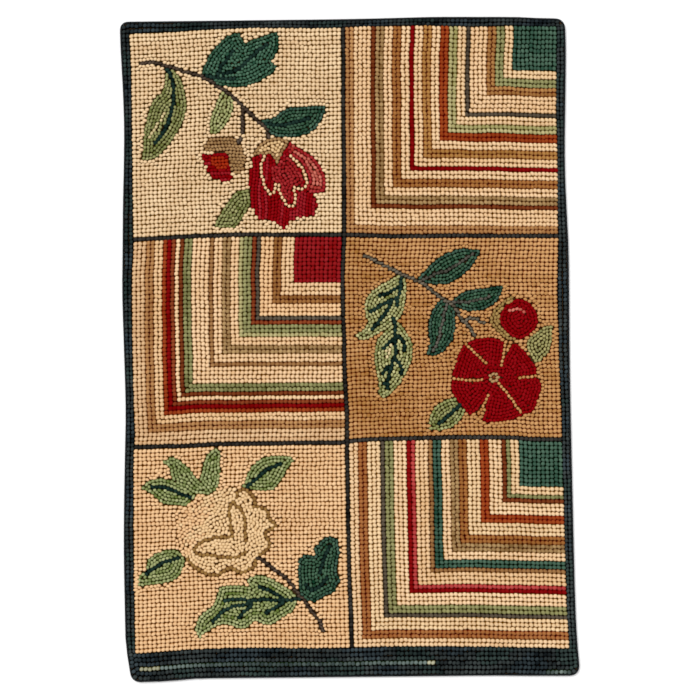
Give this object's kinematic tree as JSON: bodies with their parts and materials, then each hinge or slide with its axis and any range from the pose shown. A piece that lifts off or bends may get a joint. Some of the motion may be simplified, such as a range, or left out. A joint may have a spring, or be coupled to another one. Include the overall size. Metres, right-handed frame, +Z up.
{
  "type": "hooked rug",
  "caption": "Small oblong hooked wool rug for a floor, with flower blocks and striped blocks in a dark bound border, lying flat.",
  "frame": {"origin": "middle of the underside, on the floor", "axes": "+Z up out of the pile, +Y along the rug towards the edge that is at the top of the picture, +X to the right"},
  "size_m": [0.6296, 0.9174, 0.008],
  "materials": {
    "wool_loops": "matt hooked wool loops",
    "edge_tape": "matt cotton twill tape"
  },
  "bodies": {
    "root": {"rug": "wool_loops", "binding_right": "edge_tape", "binding_top": "edge_tape", "binding_left": "edge_tape", "binding_bottom": "edge_tape"}
  },
  "joints": []
}
